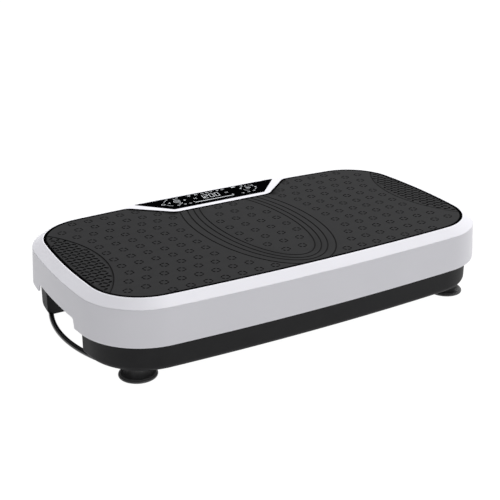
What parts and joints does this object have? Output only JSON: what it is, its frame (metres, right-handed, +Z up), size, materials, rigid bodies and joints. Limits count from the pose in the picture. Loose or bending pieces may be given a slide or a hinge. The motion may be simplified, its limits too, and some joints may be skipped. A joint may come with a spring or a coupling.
{
  "type": "vibration plate",
  "caption": "Low rocking standing platform with a white shell, dark rubber mat and flush display, on a black base with suction feet and end handle bars.",
  "frame": {"origin": "on the floor, under the centre of the outline", "axes": "+X along the length to the right end, +Y to the back, where the display is, +Z up"},
  "size_m": [0.6748, 0.3774, 0.124],
  "materials": {
    "shell_white": "satin white moulding",
    "tub_black": "fine matt black moulding",
    "mat_rubber": "moulded dark grey rubber",
    "lens_black": "polished black acrylic",
    "foot_rubber": "satin black rubber",
    "handle_black": "glossy black coating",
    "belt_rubber": "black rubber",
    "buffer_rubber": "black rubber",
    "frame_paint": "black powder coat",
    "cast_block": "cast and machined",
    "zinc_steel": "zinc plated",
    "ground_steel": "ground",
    "motor_paint": "black paint",
    "rotor_steel": "lacquered laminations",
    "motor_alloy": "die cast",
    "bush_bronze": "bronze",
    "board_green": "solder mask",
    "black_part": "moulded",
    "rocker_red": "red moulding",
    "lead_red": "insulated wire"
  },
  "bodies": {
    "base": {"base_tub": "tub_black", "base_plate": "zinc_steel", "foot_front_left": "foot_rubber", "foot_front_right": "foot_rubber", "foot_back_left": "foot_rubber", "foot_back_right": "foot_rubber", "foot_studs": "zinc_steel", "foot_nuts": "zinc_steel", "handle_left": "handle_black", "handle_right": "handle_black", "pivot_stand_front": "frame_paint", "pivot_stand_back": "frame_paint", "pivot_shaft": "ground_steel", "deck_bolts": "zinc_steel", "bearing_block_front": "cast_block", "bearing_block_back": "cast_block", "crank_bearing_front": "ground_steel", "crank_bearing_back": "ground_steel", "motor_can": "motor_paint", "motor_magnets": "motor_paint", "motor_cap_front": "motor_alloy", "motor_cap_back": "motor_alloy", "motor_cradle": "zinc_steel", "motor_bolts": "zinc_steel", "drive_belt": "belt_rubber", "bump_stops": "buffer_rubber", "control_board": "board_green", "board_posts": "zinc_steel", "heat_sink": "motor_alloy", "capacitors": "black_part", "terminal_block": "board_green", "motor_leads": "lead_red", "power_inlet": "black_part", "inlet_pins": "bush_bronze", "switch_housing": "black_part", "plate_screws": "zinc_steel"},
    "platform": {"top_shell": "shell_white", "standing_mat": "mat_rubber", "display_lens": "lens_black", "display_board": "board_green", "digit_module": "black_part", "top_frame": "frame_paint", "pivot_hanger_front": "frame_paint", "pivot_hanger_back": "frame_paint", "pivot_bush_front": "bush_bronze", "pivot_bush_back": "bush_bronze", "link_bracket": "frame_paint", "link_pins": "ground_steel", "shell_screws": "zinc_steel"},
    "crank": {"crankshaft": "ground_steel", "eccentric_front": "ground_steel", "eccentric_back": "ground_steel", "crank_pulley": "cast_block"},
    "rotor": {"motor_rotor": "rotor_steel", "motor_pulley": "cast_block"},
    "con_rod_front_body": {"con_rod_front": "ground_steel", "link_bush_front": "buffer_rubber"},
    "con_rod_back_body": {"con_rod_back": "ground_steel", "link_bush_back": "buffer_rubber"},
    "rocker": {"power_rocker": "rocker_red"}
  },
  "joints": [
    {"name": "platform_rock", "type": "hinge", "parent": "base", "child": "platform", "pos_m": [0, 0, 0.064], "axis": [0, 1, 0], "range_deg": [-1.15, 1.15], "stiffness_Nm_per_rad": 900},
    {"name": "crank_spin", "type": "hinge", "parent": "base", "child": "crank", "pos_m": [0.125, 0, 0.056], "axis": [0, 1, 0], "continuous": true},
    {"name": "motor_spin", "type": "hinge", "parent": "base", "child": "rotor", "pos_m": [0.205, 0, 0.056], "axis": [0, 1, 0], "continuous": true},
    {"name": "rod_front_swing", "type": "hinge", "parent": "crank", "child": "con_rod_front_body", "pos_m": [0.1275, -0.062, 0.056], "axis": [0, 1, 0], "continuous": true, "deforming": ["link_bush_front"]},
    {"name": "rod_back_swing", "type": "hinge", "parent": "crank", "child": "con_rod_back_body", "pos_m": [0.1275, 0.062, 0.056], "axis": [0, 1, 0], "continuous": true, "deforming": ["link_bush_back"]},
    {"name": "switch_rock", "type": "hinge", "parent": "base", "child": "rocker", "pos_m": [-0.095, 0.174, 0.044], "axis": [0, 0, 1], "range_deg": [0, 16]}
  ],
  "couplings": [
    {"joint": "motor_spin", "follows": "crank_spin", "ratio": 2.25},
    {"joint": "rod_front_swing", "follows": "crank_spin", "ratio": -1},
    {"joint": "rod_back_swing", "follows": "crank_spin", "ratio": -1}
  ]
}
